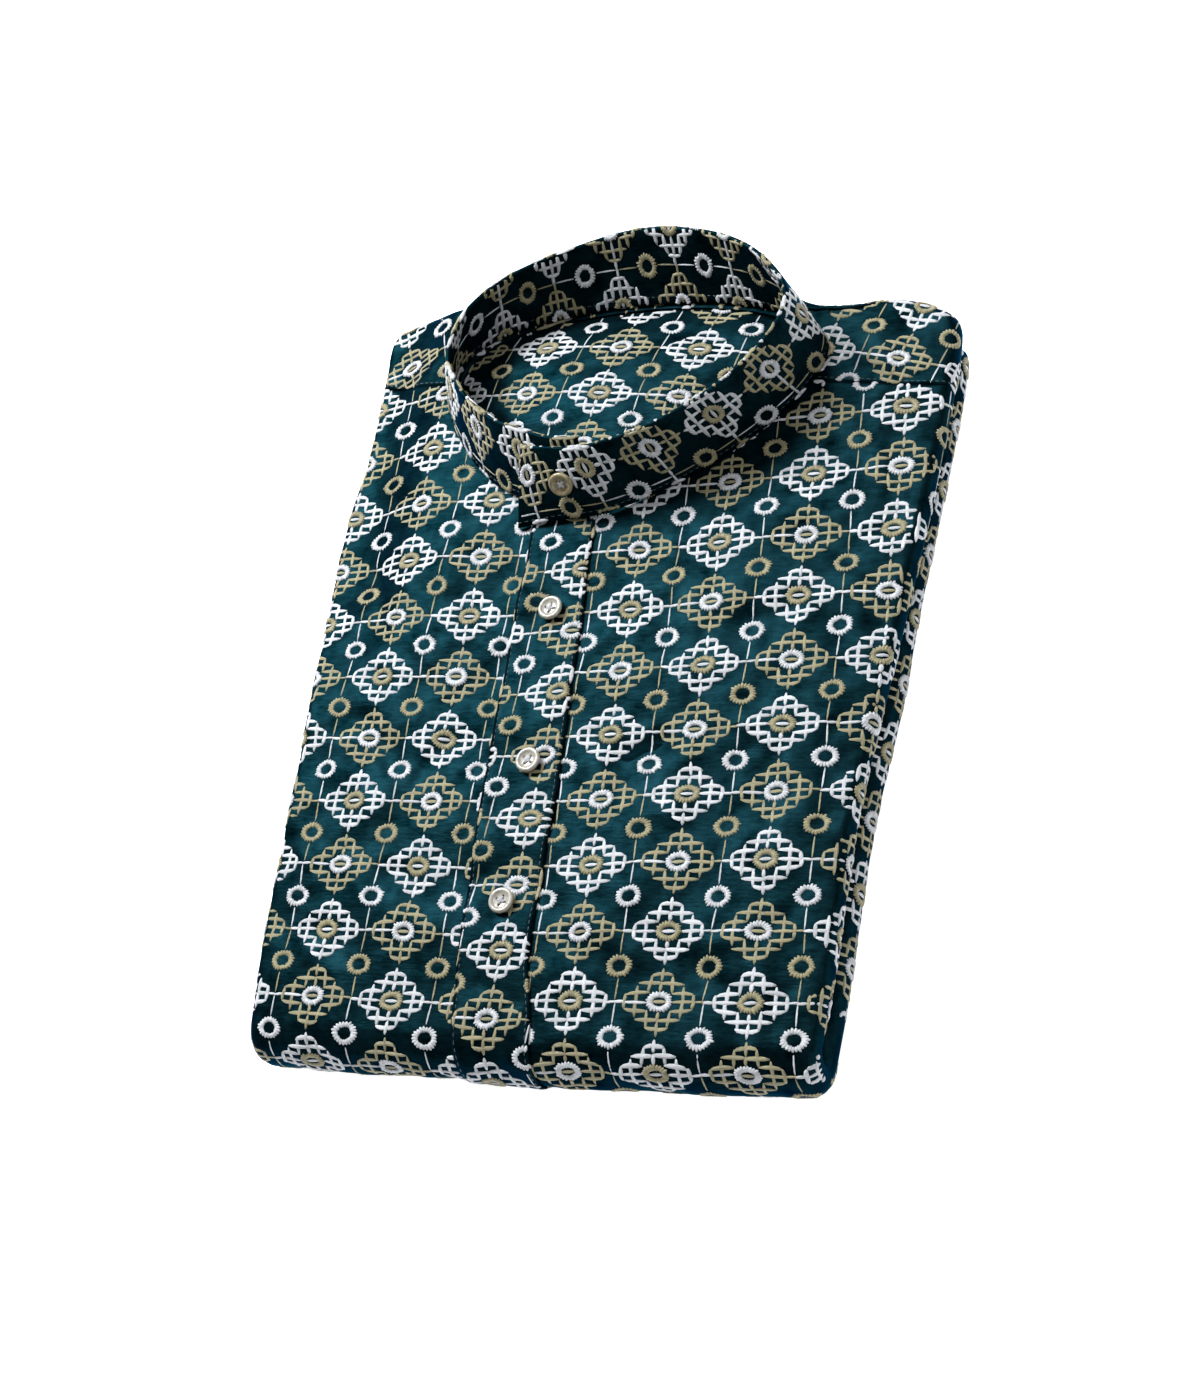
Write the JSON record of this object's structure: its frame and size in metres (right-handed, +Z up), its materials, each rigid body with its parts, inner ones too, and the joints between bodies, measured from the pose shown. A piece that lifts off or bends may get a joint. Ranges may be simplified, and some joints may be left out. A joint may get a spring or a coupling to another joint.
{
  "type": "folded kurta",
  "caption": "Embroidered collared shirt folded into a flat pack, face up, its stand collar buttoned into an open ring.",
  "frame": {"origin": "middle of the pack's box, on the surface it lies on", "axes": "+X is the wearer's left, +Y points from the foot roll to the collar, +Z is up"},
  "size_m": [0.2877, 0.3896, 0.0698],
  "materials": {
    "embroidered_cloth": "matt slub cotton with satin-stitch embroidery",
    "inner_cloth": "matt slub cotton",
    "cream_button": "soft gloss",
    "horn_button": "soft gloss"
  },
  "bodies": {
    "root": {"front_left": "embroidered_cloth", "front_right": "embroidered_cloth", "yoke": "embroidered_cloth", "placket": "embroidered_cloth", "collar_band": "embroidered_cloth", "back_neck": "inner_cloth", "folded_layers": "inner_cloth", "button_collar": "horn_button", "button_top": "cream_button", "button_middle": "cream_button", "button_low": "cream_button"}
  },
  "joints": []
}
